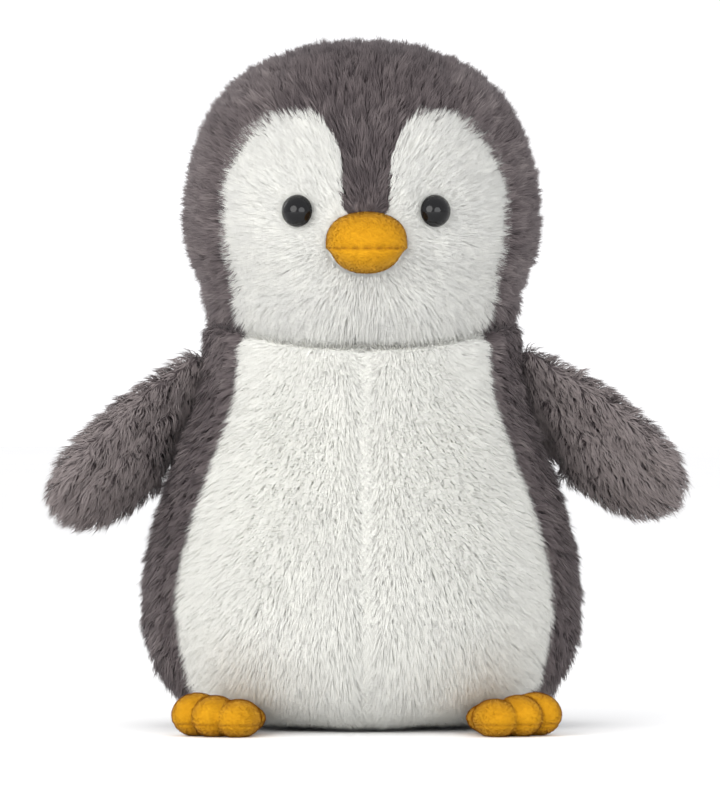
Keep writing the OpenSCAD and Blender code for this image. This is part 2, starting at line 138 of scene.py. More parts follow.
def lumps(p, size, salt):
    """Smooth noise from 0 to 1 with features of the given size."""
    q = p / size
    base = np.floor(q)
    f = smooth(q - base)
    out = 0
    for dx in (0, 1):
        for dy in (0, 1):
            for dz in (0, 1):
                w = (f[..., 0] if dx else 1 - f[..., 0])
                w = w * (f[..., 1] if dy else 1 - f[..., 1])
                w = w * (f[..., 2] if dz else 1 - f[..., 2])
                out = out + w * chance(base + np.array([dx, dy, dz]), salt)
    return out


def tufts(p, size, salt):
    """The middle and the cell of the tuft nearest each point."""
    base = np.floor(p / size)
    best = np.full(len(p), 1e9)
    middle = np.zeros_like(p)
    cell = np.zeros_like(p)
    for dx in (-1, 0, 1):
        for dy in (-1, 0, 1):
            for dz in (-1, 0, 1):
                c = base + np.array([dx, dy, dz])
                m = (c + xyz(chance(c, salt), chance(c, salt + 1), chance(c, salt + 2))) * size
                d = ((m - p) ** 2).sum(-1)
                near = d < best
                best[near] = d[near]
                middle[near] = m[near]
                cell[near] = c[near]
    return middle, cell


# ---- the surfaces: a point lies t under the surface of the pile ----

def shoulder_r(z):
    return mix(NECK_R, BODY_R, (1 + np.cos(math.pi * (z - BELLY_Z) / (NECK_Z - BELLY_Z))) / 2)


def low_profile(a, t):
    """The body from the base panel to its widest place: a goes from 0 to 90."""
    ra = BODY_R - BASE_R
    q = unit(np.stack([np.sin(rad(a)) / ra, -np.cos(rad(a)) / BELLY_Z], -1))
    return BASE_R + ra * np.sin(rad(a)) - t * q[..., 0], BELLY_Z * (1 - np.cos(rad(a))) - t * q[..., 1]


def high_profile(z, t):
    rise = NECK_Z - BELLY_Z
    slope = (BODY_R - NECK_R) / 2 * math.pi / rise * np.sin(math.pi * (z - BELLY_Z) / rise)
    q = unit(np.stack([np.ones_like(slope), slope], -1))
    return shoulder_r(z) - t * q[..., 0], z - t * q[..., 1]


def rim_z(t, share):
    """The height at which the body's surface meets the seat of the head."""
    lo = np.full_like(share, 140.0)
    hi = np.full_like(share, 205.0)
    for _ in range(26):
        z = (lo + hi) / 2
        r, h = high_profile(z, t)
        outside = (r * share) ** 2 + (BALL_Z - h) ** 2 > SEAT_R ** 2
        lo = np.where(outside, z, lo)
        hi = np.where(outside, hi, z)
    return (lo + hi) / 2


# The share of a body panel's rows that lies below the widest place.
WAIST_V = 0.4


def body_at(a, v, t):
    """A point of the body: a round it from straight ahead, v up it from the base to the neck."""
    share = np.hypot(np.sin(rad(a)), DEPTH * np.cos(rad(a)))
    r0, z0 = low_profile(90 * np.minimum(v, WAIST_V) / WAIST_V, t)
    up = np.maximum(v - WAIST_V, 0) / (1 - WAIST_V)
    r1, z1 = high_profile(mix(BELLY_Z, rim_z(t, share), up), t)
    r = np.where(v < WAIST_V, r0, r1)
    z = np.where(v < WAIST_V, z0, z1)
    return xyz(r * np.sin(rad(a)), -DEPTH * r * np.cos(rad(a)), z)


def belly_a(v):
    """How far round the body the white front panel reaches."""
    return mix(60.0, 52.0, smooth((v - 0.45) / 0.5))


# How tightly the head's sides turn into its seat.
JOIN_N = 24


def head_at(way, t):
    """The head's point in a direction from its middle. A soft minimum joins its rounded box to its seat."""
    d = unit(way)
    k = HEAD_C[2] - BALL_Z
    b = d[..., 2] * k
    r = SEAT_R - 1.5 - t
    seat = np.sqrt(b * b + r * r - k * k) - b + 18 * smooth((d[..., 2] + 0.42) / 0.55)
    c = np.where(d[..., 2] < 0, HEAD_DOWN, HEAD_UP) - t
    s = (np.abs(d[..., 0]) / (HEAD_RX - t)) ** HEAD_N + (np.abs(d[..., 1]) / (HEAD_RY - t)) ** HEAD_N
    s = s + (np.abs(d[..., 2]) / c) ** HEAD_N
    return HEAD_C + d * ((s ** (JOIN_N / HEAD_N) + seat ** -JOIN_N) ** (-1 / JOIN_N))[..., None]


def front_dir(x, z):
    """The direction from the head's middle to the point of its front at this x and z."""
    c = np.where(z < HEAD_C[2], HEAD_DOWN, HEAD_UP)
    k = 1 - (np.abs(x) / HEAD_RX) ** HEAD_N - (np.abs(z - HEAD_C[2]) / c) ** HEAD_N
    return xyz(x, -HEAD_RY * np.maximum(k, 0) ** (1 / HEAD_N), z - HEAD_C[2])


def over_dir(x, a):
    """The direction to a point over the crown: a is 0 in front, 90 on top and 180 behind."""
    s, c = np.sin(rad(a)), np.cos(rad(a))
    k = (1 - (np.abs(x) / HEAD_RX) ** HEAD_N) ** (1 / HEAD_N)
    high = np.where(s < 0, HEAD_DOWN, HEAD_UP)
    return xyz(x, -HEAD_RY * k * spow(c, 2 / HEAD_N), high * k * spow(s, 2 / HEAD_N))


def patch_out(z):
    """The outer edge of the white patch."""
    h = np.abs(z - HEAD_C[2]) / np.where(z < HEAD_C[2], PATCH_DOWN, PATCH_UP)
    return PATCH_MID_X + PATCH_HALF_X * np.maximum(0, 1 - h ** PATCH_N) ** (1 / PATCH_N)


def patch_in(z):
    """The inner edge of the white patch, which is also the edge of the grey peak."""
    high = np.maximum(0, z - PEAK_WIDEN_Z) / (PATCH_TOP_Z - PEAK_WIDEN_Z)
    wide = mix(PEAK_X, PEAK_TOP_X, high ** 3)
    point = PEAK_X * (z - PEAK_LOW_Z) / (PEAK_FULL_Z - PEAK_LOW_Z)
    return np.where(z < PEAK_LOW_Z, 0, np.where(z < PEAK_FULL_Z, point, wide))


TOP_DIR = front_dir(patch_out(np.array(PATCH_TOP_Z)), np.array(PATCH_TOP_Z))
OVER_START = math.degrees(math.atan2(
    spow(TOP_DIR[2] / HEAD_UP, HEAD_N / 2), spow(-TOP_DIR[1] / HEAD_RY, HEAD_N / 2)))
LOW_SHARE = (HEAD_C[2] - HEAD_LOW_Z) / HEAD_DOWN
NAPE_X, CROWN_X = 18.0, 33.0
OVER_END = 180 + math.degrees(math.asin(
    (LOW_SHARE / (1 - (NAPE_X / HEAD_RX) ** HEAD_N) ** (1 / HEAD_N)) ** (HEAD_N / 2)))


def strip_x(a):
    """Half the width of the strip over the crown."""
    up = mix(TOP_DIR[0], CROWN_X, smooth((a - OVER_START) / (90 - OVER_START)))
    down = mix(CROWN_X, NAPE_X, smooth((a - 90) / (OVER_END - 90)))
    return np.where(a < 90, up, down)


def wing_at(s, q, t, droop, sag):
    """A point of the left wing: s along it, q round it. sag makes its lower edge the fuller one."""
    d, f = math.radians(droop), math.radians(WING_FORWARD)
    u = np.array([math.cos(d) * math.cos(f), -math.sin(f), -math.sin(d) * math.cos(f)])
    e = unit(u - dot(u, WING_AXIS) * WING_AXIS)
    nrm = unit(np.cross(u, WING_AXIS))
    across = unit(WING_AXIS - dot(WING_AXIS, u) * u)
    s, q = np.broadcast_arrays(s, q)
    chord = unit(mix(WING_AXIS, across, smooth(s / 0.5)[..., None]))
    r = np.maximum(0, -s) * 90
    full = np.maximum(0, s)
    tip = np.sqrt(np.maximum(0.0004, 1 - full ** 7))
    swell = np.sin(rad(90 * np.minimum(1, full / 0.5)))
    hc = (mix(WING_ROOT_W, WING_TIP_W, full) - sag * np.cos(rad(q)) - t) * tip
    ht = (mix(WING_ROOT_H, WING_MID_H, swell) - t) * tip * np.cos(rad(r))
    root = np.array([shoulder_r(WING_Z) + 5, 0, WING_Z])
    out = root + u * (full * (WING_LEN - t))[..., None]
    out = out - e * ((WING_ROOT_DEEP - t) * np.sin(rad(r)))[..., None]
    return out + chord * (hc * np.cos(rad(q)))[..., None] + nrm * (ht * np.sin(rad(q)))[..., None]


def beak_at(w, e, h, side, t):
    """A point of half the beak. The upper half has fuller shoulders and the lower half is narrower."""
    k = np.cos(rad(w)) ** (0.64 if side > 0 else 0.9)
    narrow = 1 - (0.0 if side > 0 else 0.15) * np.sin(rad(e))
    return xyz((BEAK_W / 2 - t) * np.sin(rad(w)) * narrow,
               BEAK_BACK - 0.3 - (BEAK_OUT - t) * np.cos(rad(w)) ** 0.85 * np.cos(rad(e)) ** 0.9,
               BEAK_SEAM_Z + side * (h - t) * k * np.sin(rad(e)))


# ---- meshes ----

def grid_faces(rows, cols, wrap=False):
    i, j = np.meshgrid(np.arange(rows - 1), np.arange(cols if wrap else cols - 1), indexing="ij")
    k = (j + 1) % cols
    return np.stack([i * cols + j, i * cols + k, (i + 1) * cols + k, (i + 1) * cols + j], -1).reshape(-1, 4)


def corner_normals(p, faces):
    """Vertex normals of a surface of quads."""
    c = np.cross(p[faces[:, 2]] - p[faces[:, 0]], p[faces[:, 3]] - p[faces[:, 1]])
    out = np.zeros_like(p)
    for k in range(4):
        np.add.at(out, faces[:, k], c)
    return unit(out)


def grid_uv(rows, cols, edge=0.02):
    """A bake layout for a grid of points, by row and then by column, with a margin round it."""
    lines = np.meshgrid(np.linspace(edge, 1 - edge, rows), np.linspace(edge, 1 - edge, cols), indexing="ij")
    return np.stack(lines, -1).reshape(-1, 2)


def scatter(rng, p, faces, thick, *fields):
    """Places spread evenly over a surface of quads, and the value there of each field of its points."""
    area = 0.5 * np.linalg.norm(
        np.cross(p[faces[:, 2]] - p[faces[:, 0]], p[faces[:, 3]] - p[faces[:, 1]]), axis=-1)
    n = int(area.sum() * thick)
    face = faces[rng.choice(len(faces), n, p=area / area.sum())]
    a, b = rng.random((2, n, 1))
    share = [(1 - a) * (1 - b), a * (1 - b), a * b, (1 - a) * b]
    return [sum(field[face[:, k]] * share[k] for k in range(4)) for field in (p, *fields)]


def new_mesh(name, points, quads, tris=None, normals=None, uv=None, tone=None):
    """An object from millimetre points, with its own normals, bake layout and tone where given."""
    mesh = bpy.data.meshes.new(name)
    mesh.vertices.add(len(points))
    mesh.vertices.foreach_set("co", (points * MM).astype(np.float32).ravel())
    tris = np.zeros((0, 3), int) if tris is None else tris
    loops = np.concatenate([quads.ravel(), tris.ravel()]).astype(np.int32)
    starts = np.concatenate([np.arange(len(quads)) * 4, len(quads) * 4 + np.arange(len(tris)) * 3])
    mesh.loops.add(len(loops))
    mesh.loops.foreach_set("vertex_index", loops)
    mesh.polygons.add(len(starts))
    mesh.polygons.foreach_set("loop_start", starts.astype(np.int32))
    mesh.update(calc_edges=True)
    if uv is not None:
        layer = mesh.uv_layers.new(name="OFBake")
        layer.uv.foreach_set("vector", uv[loops].astype(np.float32).ravel())
    if tone is not None:
        mesh.attributes.new("tone", "FLOAT", "POINT").data.foreach_set("value", tone.astype(np.float32))
    mesh.shade_smooth()
    if normals is not None:
        mesh.normals_split_custom_set_from_vertices(normals.astype(np.float32))
    obj = bpy.data.objects.new(name, mesh)
    bpy.context.scene.collection.objects.link(obj)
    return obj


# ---- pile ----

def grow(rng, p, faces, n_of, uv, comb, keep,
         thick, length, width, lean, pull, tuft, wild, ruffle, gloss, bias):
    """Strands on a surface. comb gives the way they lie and a share of the length for each root.

    thick is strands per square millimetre and lean their angle from upright. pull draws them
    together in tufts of size tuft, wild turns them aside and ruffle varies their length and lean.
    gloss bends their shading from the fabric's towards their own, and bias lightens their colour, as painted
    light on the wings and, taken negative, painted shade on the face.
    """
    root, nrm, at_uv = scatter(rng, p, faces, thick, n_of, uv)
    nrm = unit(nrm)
    way, short = comb(root, nrm)
    kept = keep(root) & (short > 0.05)
    root, nrm, at_uv, way, short = root[kept], nrm[kept], at_uv[kept], way[kept], short[kept]
    n = len(root)
    way = unit(way - dot(way, nrm) * nrm)
    across = np.cross(nrm, way)
    mid, cell = tufts(root, tuft, 11)
    mid_big, cell_big = tufts(root, tuft * 2.6, 31)
    swing = rad((chance(cell, 5) - 0.5) * 2 * wild + (chance(cell_big, 6) - 0.5) * wild
                + rng.normal(0, wild * 0.35, n))[:, None]
    way = way * np.cos(swing) + across * np.sin(swing)
    worn = 1 - 0.009 * ruffle * (1 - chance(cell, 7))
    size = (length * short * worn * rng.uniform(0.75, 1.05, n))[:, None]
    tilt = lean + (chance(cell, 8) - 0.5 + 0.6 * (chance(cell_big, 9) - 0.5)) * ruffle + rng.normal(0, 5, n)
    a0, a1 = rad(np.clip(tilt - 18, 4, 80))[:, None], rad(np.clip(tilt + 16, 10, 88))[:, None]
    toward = 0.75 * (mid - root) + 0.25 * (mid_big - root)
    toward = (toward - dot(toward, nrm) * nrm) * pull
    p0 = root - nrm * 0.5
    p1 = root + size * 0.5 * (nrm * np.cos(a0) + way * np.sin(a0)) + toward * 0.38
    p2 = p1 + size * 0.5 * (nrm * np.cos(a1) + way * np.sin(a1)) + toward * 0.62
    along = unit(p2 - p0)
    flat = unit(np.cross(along, nrm) + 1e-6)
    face_n = np.cross(flat, along)
    twist = rad(rng.uniform(-65, 65, n))[:, None]
    side = flat * np.cos(twist) + face_n * np.sin(twist)
    facing = face_n * np.cos(twist) - flat * np.sin(twist)
    outward = np.where(dot(facing, nrm) < 0, -1, 1)
    side, facing = side * outward, facing * outward
    w = (width * rng.uniform(0.7, 1.25, n))[:, None] / 2
    points = np.stack([p0 - side * w, p0 + side * w, p1 - side * w * 0.85, p1 + side * w * 0.85, p2], 1)
    shade_n = unit(nrm * (1 - gloss) + facing * gloss)
    lift = unit(shade_n + along * 0.15)
    normals = np.stack([shade_n, shade_n, shade_n, shade_n, lift], 1)
    tone = bias + 0.5 * chance(cell, 12) + 0.25 * chance(cell_big, 13) + 0.25 * rng.random(n)
    tone = np.clip(tone, 0, 1.3)
    # Each strand is coloured darker at its root and lighter at its tip: painted shade deep in the pile and
    # painted light on the tips.
    foot, bend, tip = tone * 0.6, tone * 0.9 + 0.05, tone * 0.8 + 0.2
    tones = np.stack([foot, foot, bend, bend, tip], 1)
    return points.reshape(-1, 3), normals.reshape(-1, 3), tones.ravel(), np.repeat(at_uv, 5, 0)


# Grey pile: long, coarse and ruffled.
LONG = dict(thick=THICK, length=10.5, width=0.4, lean=45, pull=0.6, tuft=3.4, wild=16, ruffle=26,
            gloss=0.3, bias=0.0)
# White pile: shorter, finer, straighter and more even.
SOFT = dict(thick=THICK * 2.2, length=8.4, width=0.26, lean=38, pull=0.05, tuft=2.4, wild=10, ruffle=4,
            gloss=0.05)


def furry(name, grid, slot, body, nodes, material, comb, inside, keep=None, flip=False, seed=1, **style):
    """One panel of fur fabric: its skin and its pile in one mesh. inside is a point behind the skin."""
    rows, cols = grid.shape[:2]
    mirror = np.array([-1.0 if flip else 1.0, 1, 1])
    p = grid.reshape(-1, 3) * mirror
    faces = grid_faces(rows, cols)
    n_of = corner_normals(p, faces)
    if dot(n_of, p - np.array(inside) * mirror).mean() < 0:
        faces, n_of = faces[:, ::-1], -n_of
    uv = grid_uv(rows, cols)[:, ::-1]
    every = keep or (lambda q: np.ones(len(q), bool))
    sp, sn, st, suv = grow(np.random.default_rng(seed), p, faces, n_of, uv, comb, every,
                           **{**LONG, **style})
    n = len(sp) // 5
    i = len(p) + np.arange(n)[:, None] * 5
    quads = np.concatenate([faces, i + np.array([0, 1, 3, 2])])
    tris = i + np.array([2, 3, 4])
    points = np.concatenate([p, sp])
    points[:, 2] = np.maximum(points[:, 2], 0.3)
    obj = new_mesh(name, points, quads, tris, np.concatenate([n_of, sn]), np.concatenate([uv, suv]),
                   np.concatenate([0.1 + 0.3 * lumps(p, 3.0, 3), st]))
    obj.data.materials.append(material)
    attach(obj, body)
    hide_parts(*nodes)


# Pieces that get the filling's material once it is made.
FILLINGS = []


def filling(name, p, faces, body, cad_node):
    """Stuffing that keeps inside its fabric."""
    obj = new_mesh(name, p, faces, uv=unit(p - p.mean(0))[:, :2] * 0.45 + 0.5)
    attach(obj, body)
    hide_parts(cad_node)
    FILLINGS.append(obj)


# ---- materials ----

def node(tree, kind, **sockets):
    made = tree.nodes.new(kind)
    for key, value in sockets.items():
        made.inputs[key.replace("_", " ")].default_value = value
    return made


def noise(tree, scale, detail, rough):
    """Noise laid out in the object's own space."""
    made = node(tree, "ShaderNodeTexNoise", Scale=scale, Detail=detail, Roughness=rough)
    where = tree.nodes.new("ShaderNodeTexCoord")
    tree.links.new(where.outputs["Object"], made.inputs["Vector"])
    return made.outputs["Fac"]


def maths(tree, operation, *values):
    """Arithmetic on sockets and plain numbers."""
    made = tree.nodes.new("ShaderNodeMath")
    made.operation = operation
    for socket, value in zip(made.inputs, values):
        if isinstance(value, float):
            socket.default_value = value
        else:
            tree.links.new(value, socket)
    return made.outputs[0]


def attribute(tree, name):
    made = tree.nodes.new("ShaderNodeAttribute")
    made.attribute_name = name
    return made.outputs["Fac"]


def bumpy(tree, b, height, strength, distance):
    bump = node(tree, "ShaderNodeBump", Strength=strength, Distance=distance)
    tree.links.new(height, bump.inputs["Height"])
    tree.links.new(bump.outputs[0], b.inputs["Normal"])


def ramp(tree, fac, stops):
    made = tree.nodes.new("ShaderNodeValToRGB")
    made.color_ramp.interpolation = "EASE"
    while len(made.color_ramp.elements) < len(stops):
        made.color_ramp.elements.new(0.5)
    for element, (place, colour) in zip(made.color_ramp.elements, stops):
        element.position = place
        element.color = (*colour, 1)
    tree.links.new(fac, made.inputs[0])
    return made.outputs[0]


def srgb(text):
    v = [int(text[i:i + 2], 16) / 255 for i in (0, 2, 4)]
    return [c / 12.92 if c < 0.04045 else ((c + 0.055) / 1.055) ** 2.4 for c in v]


def start_material(name, roughness):
    m = bpy.data.materials.new(name)
    m.use_nodes = True
    b = m.node_tree.nodes["Principled BSDF"]
    b.inputs["Roughness"].default_value = roughness
    return m, m.node_tree, b


def fur_material(name, stops, rough, sheen, tint, through):
    """Pile whose colour runs with each tuft's tone, which carries painted shade at the roots and painted
    light at the tips, and drifts over a few centimetres.

    through is the share of light that passes through a fibre.
    """
    m, t, b = start_material(name, rough)
    drift = maths(t, "MULTIPLY_ADD", noise(t, 34.0, 3.0, 0.6), 0.5, attribute(t, "tone"))
    colour = ramp(t, maths(t, "SUBTRACT", drift, 0.25), stops)
    t.links.new(colour, b.inputs["Base Color"])
    lit = t.nodes.new("ShaderNodeBsdfTranslucent")
    t.links.new(colour, lit.inputs["Color"])
    blend = t.nodes.new("ShaderNodeMixShader")
    blend.inputs[0].default_value = through
    t.links.new(b.outputs[0], blend.inputs[1])
    t.links.new(lit.outputs[0], blend.inputs[2])
    t.links.new(blend.outputs[0], t.nodes["Material Output"].inputs["Surface"])
    b.inputs["Sheen Weight"].default_value = sheen
    b.inputs["Sheen Roughness"].default_value = 0.5
    b.inputs["Sheen Tint"].default_value = (*tint, 1)
    b.inputs["Specular IOR Level"].default_value = 0.25
    return m


# The grey's darkest and lightest stops are the pile's shade and highlight colours, so its range is partly the
# fibres' own tone and partly painted shade and painted highlight.
GREY = fur_material("grey_pile", [(0.0, srgb("473f41")), (0.45, srgb("665d5e")), (1.0, srgb("8a8180"))],
                    0.62, 0.15, (0.9, 0.86, 0.88), 0.3)
WHITE = fur_material("white_pile", [(0.0, srgb("e6e6e3")), (0.45, srgb("f2f2ee")), (1.0, srgb("f8f8f4"))],
                     0.7, 0.1, (1.0, 1.0, 1.0), 0.5)


def felt_material():
    """Brushed amber knit: mottled, with a fine bump, and darker where tone marks the stitch line."""
    m, t, b = start_material("amber_knit", 0.85)
    fine = noise(t, 1500.0, 3.0, 0.7)
    broad = noise(t, 120.0, 4.0, 0.6)
    both = maths(t, "MULTIPLY_ADD", fine, 0.55, maths(t, "MULTIPLY", broad, 0.45))
    knit = ramp(t, both, [(0.3, srgb("ab7705")), (0.5, srgb("b37f07")), (0.7, srgb("ba870c"))])
    thread = t.nodes.new("ShaderNodeMixRGB")
    t.links.new(attribute(t, "tone"), thread.inputs[0])
    t.links.new(knit, thread.inputs[1])
    thread.inputs[2].default_value = (*srgb("7c4c04"), 1)
    t.links.new(thread.outputs[0], b.inputs["Base Color"])
    bumpy(t, b, fine, 0.5, 0.0006)
    b.inputs["Sheen Weight"].default_value = 0.3
    b.inputs["Sheen Roughness"].default_value = 0.4
    b.inputs["Sheen Tint"].default_value = (1.0, 0.7, 0.2, 1)
    b.inputs["Specular IOR Level"].default_value = 0.2
    return m


def eye_material():
    m, t, b = start_material("polished_black", 0.08)
    spread = node(t, "ShaderNodeMapRange", To_Min=0.05, To_Max=0.12)
    t.links.new(noise(t, 260.0, 2.0, 0.5), spread.inputs["Value"])
    t.links.new(spread.outputs[0], b.inputs["Roughness"])
    b.inputs["Base Color"].default_value = (0.004, 0.004, 0.0045, 1)
    b.inputs["Specular IOR Level"].default_value = 0.24
    return m


AMBER = felt_material()
BLACK = eye_material()


# ---- which way the pile lies ----

EYE_AT = [head_at(front_dir(np.array(s * EYE_X), np.array(EYE_Z)), 0) for s in (-1, 1)]
BEAK_AT = np.array([0.0, -78.0, 210.9])
# No strand grows within these of an eye or of the beak.
EYE_BARE, BEAK_BARE_X, BEAK_BARE_Z = 9.4, 16.6, 12.6
# What faces further forward than this is the front of the head.
FRONT_Y = -40


def body_comb(root, nrm):
    """Down, out from the belly seam, out across the belly's edge, and up at the neck."""
    way = xyz(0.25 * root[:, 0] / BODY_R, 0.12 * root[:, 1] / BODY_R, -np.ones(len(root)))
    way[:, 0] -= 0.9 * np.sign(root[:, 0]) * np.exp(-np.abs(root[:, 0]) / 5)
    round_to = np.degrees(np.arctan2(np.abs(root[:, 0]), -root[:, 1] / DEPTH))
    way[:, 0] += 1.1 * np.sign(root[:, 0]) * smooth((round_to - 28) / 22) * (round_to < 61)
    low = smooth((26 - root[:, 2]) / 22)
    seat = np.linalg.norm(root - BALL, axis=-1) - SEAT_R
    rim = smooth((22 - seat) / 20)
    way[:, 2] += 0.8 * rim
    # longer over the feet, and shorter in the collar that lines the seat of the head
    cuff = np.exp(-((np.abs(root[:, 0]) - 58) / 20) ** 2 - ((root[:, 2] - 24) / 9) ** 2) * (root[:, 1] < 0)
    lined = (nrm[:, 2] > 0.3) & (seat < 3)
    deep = smooth((168 - root[:, 2]) / 14)
    short = mix(1.0, 0.85, low) * mix(1.0, 0.75, rim) * (1 + 0.5 * cuff)
    return way, short * np.where(lined, mix(0.6, 0.2, deep), 1.0)


def head_comb(root, nrm):
    """Away from the beak and from the eyes, and down at the back and at the chin."""
    way = unit(root - BEAK_AT)
    way[:, 2] -= 1.1 * smooth((root[:, 1] + 10) / 60) + 1.2 * smooth((192 - root[:, 2]) / 16)
    short = np.ones(len(root))
    for eye in EYE_AT:
        d = root - eye
        far = np.linalg.norm(d, axis=-1)
        near = np.exp(-np.maximum(0, far - 7) / 5)[:, None]
        way = mix(way, unit(d), near)
        short = short * mix(0.5, 1.0, smooth((far - 8) / 12))
    d = root - BEAK_AT
    far = np.hypot(d[:, 0] / 17.3, d[:, 2] / 13)
    front = root[:, 1] < FRONT_Y
    short = short * np.where(front, mix(0.55, 1.0, smooth((far - 1.05) / 0.8)), 1)
    short = short * mix(1.0, 1.3, smooth((196 - root[:, 2]) / 16))
    return way, short * mix(1.0, 0.6, smooth((171 - root[:, 2]) / 5))


def head_keep(root):
    free = np.ones(len(root), bool)
    for eye in EYE_AT:
        free &= np.linalg.norm(root - eye, axis=-1) > EYE_BARE
    d = root - BEAK_AT
    return free & ~((np.hypot(d[:, 0] / BEAK_BARE_X, d[:, 2] / BEAK_BARE_Z) < 1) & (root[:, 1] < FRONT_Y))


def wing_comb(side, droop):
    """Along the wing to its tip, and shorter at its root."""
    d = math.radians(droop)
    u = np.array([side * math.cos(d), -0.1, -math.sin(d) - 0.22])

    def comb(root, nrm):
        way = np.broadcast_to(u, root.shape).copy()
        out = (side * root[:, 0] - 82) / 60
        return way, mix(0.8, 1.0, smooth(out)) * np.ones(len(root))
    return comb


# ---- the body's panels ----

def dent(dist, deep, wide):
    """How far the fabric is drawn in beside a seam."""
    return deep * np.exp(-(dist / wide) ** 2)


# How far a body panel lies from the body's axis, for lengths across it.
PANEL_R = 88


def body_panel(a0, a1, cols, rows=64):
    """A panel of the body from a0 to a1 round it, with the collar it lines the head's seat with."""
    v = np.linspace(0.0, 1.0, rows)[:, None]
    k = np.linspace(0, 1, cols)[None, :]
    low = a0(v) if callable(a0) else np.full_like(v, a0)
    high = a1(v) if callable(a1) else np.full_like(v, a1)
    a = mix(low, high, k)
    arc = (high - low) * math.pi / 180 * PANEL_R
    pull = dent(k * arc, 0.9, 5) + dent((1 - k) * arc, 1.4, 5)
    p = body_at(a, np.broadcast_to(v, a.shape), SKIN + pull - 3.0 * smooth((v - 0.84) / 0.16))
    rough = body_at(a, np.broadcast_to(v, a.shape), 0 * a)
    p = p + unit(p - BODY_MID) * ((lumps(rough, 26.0, 71) - 0.5) * 1.6 * (v < 0.97))[..., None]
    rim = unit(p[-1] - BALL)
    lift = np.linspace(0, 1, 9)[1:, None, None]
    collar = BALL + unit(mix(rim[None], np.array([0, 0, -1.0]), 0.75 * lift)) * (SEAT_R + 0.6)
    return np.concatenate([p, collar])


belly = body_panel(0.0, belly_a, 44)
back = body_panel(belly_a, 180.0, 80)
for side, flip in (("left", False), ("right", True)):
    furry(f"belly_pile_{side}", belly, "white_fur", "body", [f"belly_{side}"], WHITE, body_comb,
          BODY_MID, flip=flip, seed=21 + flip, bias=0.15, **SOFT)
    furry(f"back_pile_{side}", back, "grey_fur", "body", [f"back_{side}"], GREY, body_comb,
          BODY_MID, flip=flip, seed=31 + flip, length=10.4, lean=46, wild=20, bias=-0.05)

ring = np.linspace(0, 1, 14)[:, None]
turn = np.linspace(0, 360, 97)[None, :]
base_r = mix(2, BASE_R - 1, ring)
base = xyz(base_r * np.sin(rad(turn)), -DEPTH * base_r * np.cos(rad(turn)), 2.4 + 2.2 * ring ** 6)
furry("base_pile", base, "grey_fur", "body", ["base_panel"], GREY,
      lambda q, n: (unit(q * np.array([1, 1, 0]) + 1e-6), np.full(len(q), 0.32)),
      BODY_MID, seed=41, thick=THICK * 0.35, lean=74, wild=30)

# ---- the head's panels ----

def head_skin(way, pull):
    """The head's fabric, nearer the surface where it meets the shoulders and over the temples."""
    up = unit(way)[..., 2]
    low = smooth((0.0 - up) / 0.72)
    high = smooth((up - 0.3) / 0.3) * (1 - 0.6 * smooth((up - 0.85) / 0.15))
    return head_at(way, SKIN + pull - 5.0 * low - 2.6 * high)


def face_panel():
    z = np.linspace(HEAD_LOW_Z, PATCH_TOP_Z, 64)[:, None]
    k = np.linspace(0, 1, 44)[None, :]
    x = mix(patch_in(z), patch_out(z), k)
    wide = patch_out(z) - patch_in(z)
    pull = dent(k * wide, 1.2, 4) * (z < PEAK_LOW_Z) + dent((1 - k) * wide, 1.6, 5)
    way = front_dir(x, np.broadcast_to(z, x.shape))
    return head_skin(way, pull)


def crown_panel():
    """The peak between the eyes, the forehead and the strip over the head to the nape, in one."""
    z = np.linspace(PEAK_LOW_Z + 0.5, PATCH_TOP_Z, 30)
    a = np.linspace(OVER_START, OVER_END, 70)[1:]
    across = np.linspace(PEAK_TOP_X, patch_out(np.array(PATCH_TOP_Z)), 8)[1:]
    x = np.concatenate([patch_in(z), across, strip_x(a)])
    top = np.full_like(across, PATCH_TOP_Z)
    edge = np.concatenate([front_dir(patch_in(z), z), front_dir(across, top), over_dir(strip_x(a), a)])
    k = np.linspace(-1, 1, 40)[None, :]
    pull = dent((1 - np.abs(k)) * x[:, None], 1.4, 5)
    way = xyz(edge[:, None, 0] * k, edge[:, None, 1] + 0 * k, edge[:, None, 2] + 0 * k)
    return head_skin(way, pull)


def side_panel():
    """From the arch over the face and the crown's edge down to the hem at the neck."""
    z = np.linspace(HEAD_LOW_Z, PATCH_TOP_Z, 44)
    a = np.linspace(OVER_START, OVER_END, 56)[1:]
    arch = np.concatenate([front_dir(patch_out(z), z), over_dir(strip_x(a), a)])
    r = HEAD_RX * (1 - LOW_SHARE ** HEAD_N) ** (1 / HEAD_N)
    first = math.degrees(math.asin(min(1.0, float(patch_out(np.array(HEAD_LOW_Z))) / r))) + 1
    last = 180 - math.degrees(math.asin(NAPE_X / r)) - 1
    b = np.linspace(first, last, len(arch))
    hem_x = r * spow(np.sin(rad(b)), 2 / HEAD_N)
    hem_y = -r * HEAD_RY / HEAD_RX * spow(np.cos(rad(b)), 2 / HEAD_N)
    hem = xyz(hem_x, hem_y, HEAD_LOW_Z - HEAD_C[2])
    k = np.linspace(0, 1, 50)[None, :, None] ** 0.9
    way = unit(mix(unit(arch)[:, None], unit(hem)[:, None], k))
    pull = dent(k[..., 0] * 90, 1.6, 5)
    return head_skin(way, pull)


def puff(p, salt):
    """Small unevenness of stuffed fabric."""
    return p + unit(p - HEAD_C) * ((lumps(p, 24.0, salt) - 0.5) * 1.6)[..., None]


